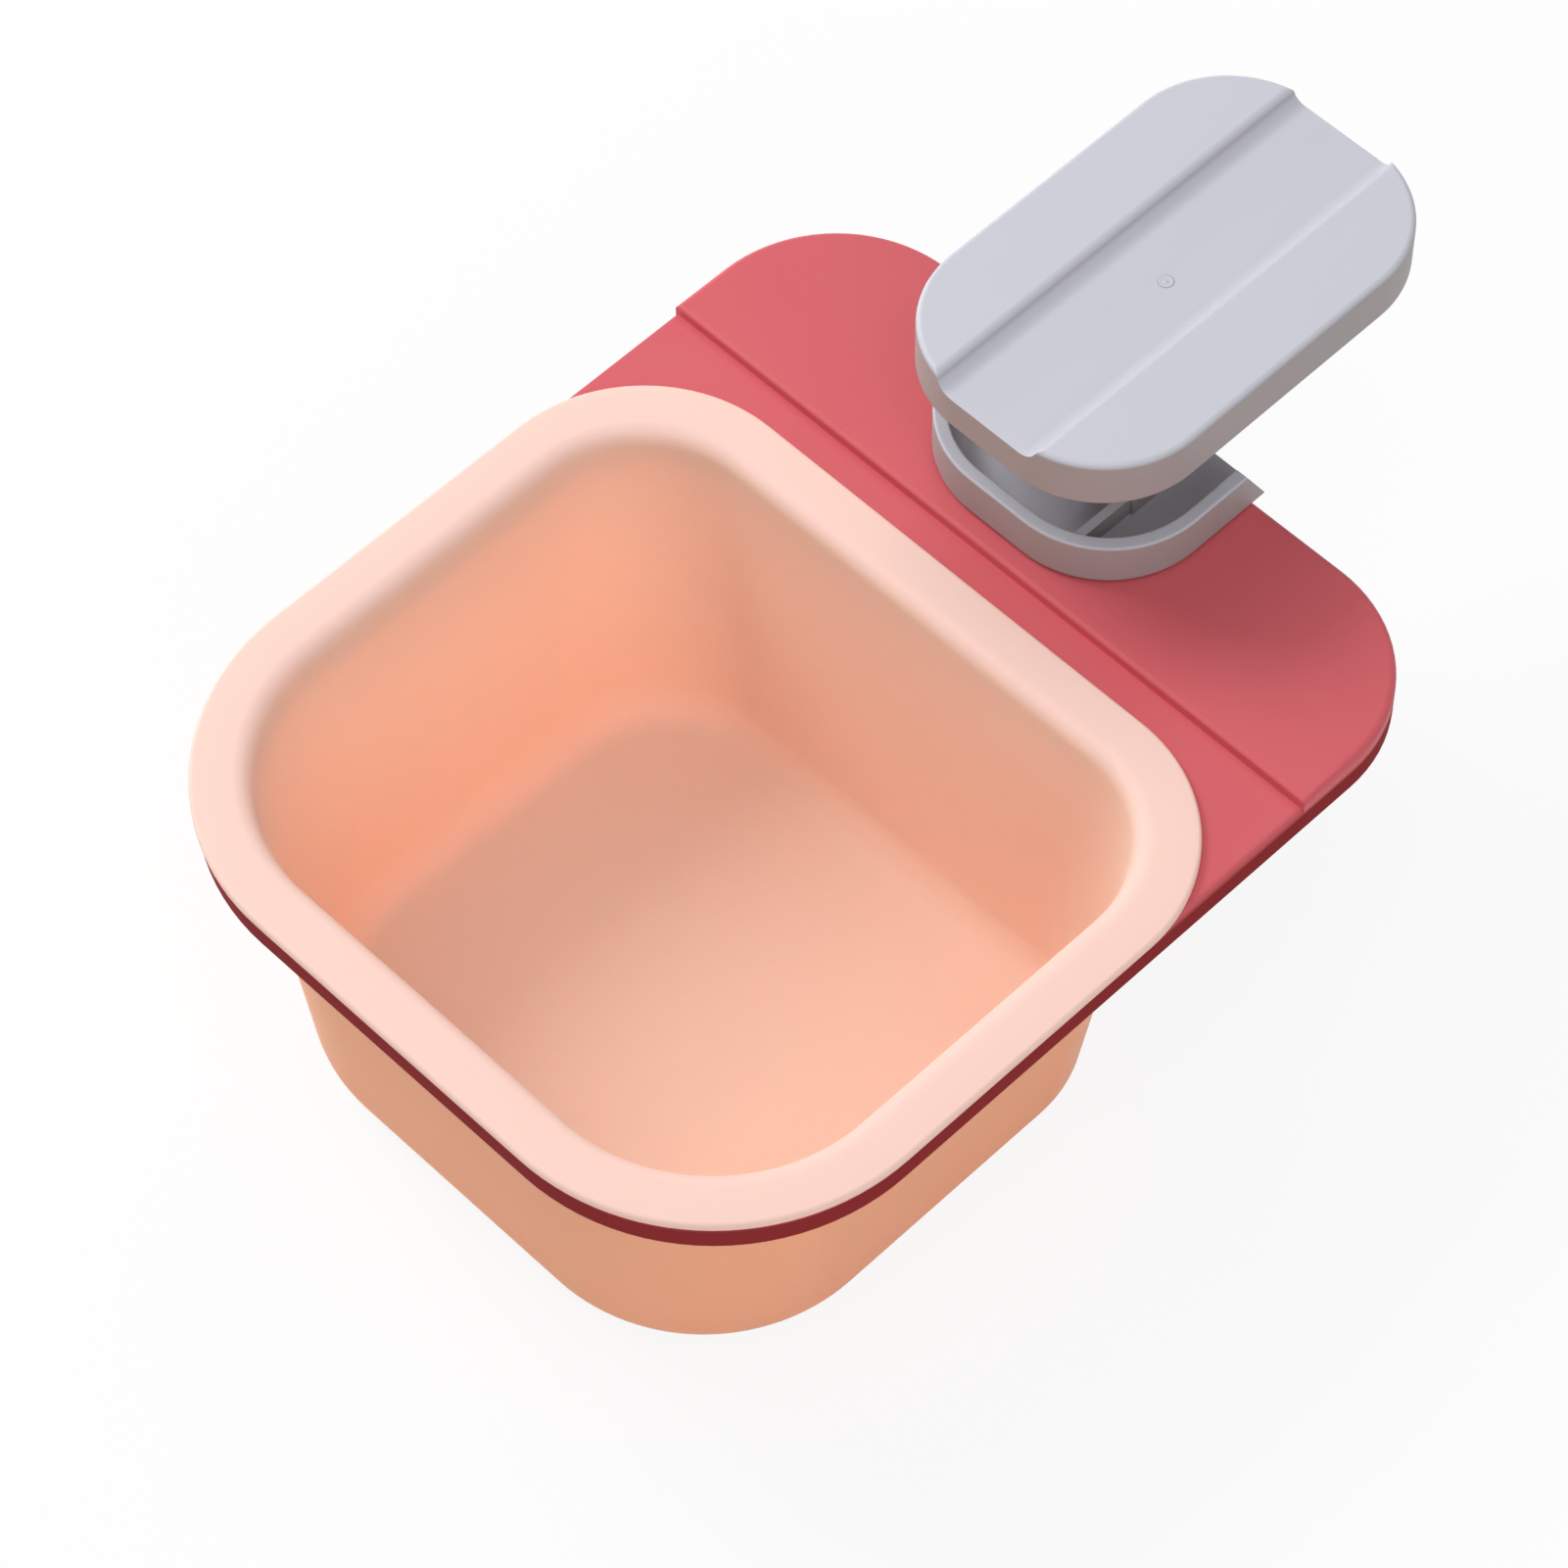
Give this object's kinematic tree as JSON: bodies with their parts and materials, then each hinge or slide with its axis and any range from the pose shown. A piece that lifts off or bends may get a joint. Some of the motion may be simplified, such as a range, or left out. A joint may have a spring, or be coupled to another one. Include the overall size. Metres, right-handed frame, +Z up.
{
  "type": "clip-on desk wastebasket",
  "caption": "Open rounded wastebasket that drops into a one-piece frame, with a sprung hinged clip on the frame's deck that grips the edge of a desk board.",
  "frame": {"origin": "middle of the lower grip pad's top face, where the underside of the desk board rests", "axes": "+Y from the tub to the desk, +Z up, +X to the right when facing the desk"},
  "size_m": [0.14, 0.2105, 0.1012],
  "materials": {
    "tub_plastic": "peach, matte moulded",
    "frame_plastic": "coral red, satin moulded",
    "clip_plastic": "light grey, satin moulded",
    "bright_steel": "zinc plated",
    "grip_rubber": "mid grey, matte"
  },
  "bodies": {
    "frame": {"holder_frame": "frame_plastic", "clip_lower_jaw": "clip_plastic", "hinge_pin": "bright_steel", "clip_spring": "bright_steel", "lower_jaw_pad": "grip_rubber", "clip_screws": "bright_steel"},
    "bin": {"waste_bin": "tub_plastic"},
    "upper_jaw": {"clip_upper_jaw": "clip_plastic", "upper_jaw_pad": "grip_rubber"}
  },
  "joints": [
    {"name": "bin_lift", "type": "slide", "parent": "frame", "child": "bin", "axis": [0, 0, 1], "range_m": [0, 0.075]},
    {"name": "clip_hinge", "type": "hinge", "parent": "frame", "child": "upper_jaw", "pos_m": [0, -0.03447, 0.0075], "axis": [1, 0, 0], "range_deg": [-15, 30], "stiffness_Nm_per_rad": 0.3, "deforming": ["clip_spring"]}
  ]
}
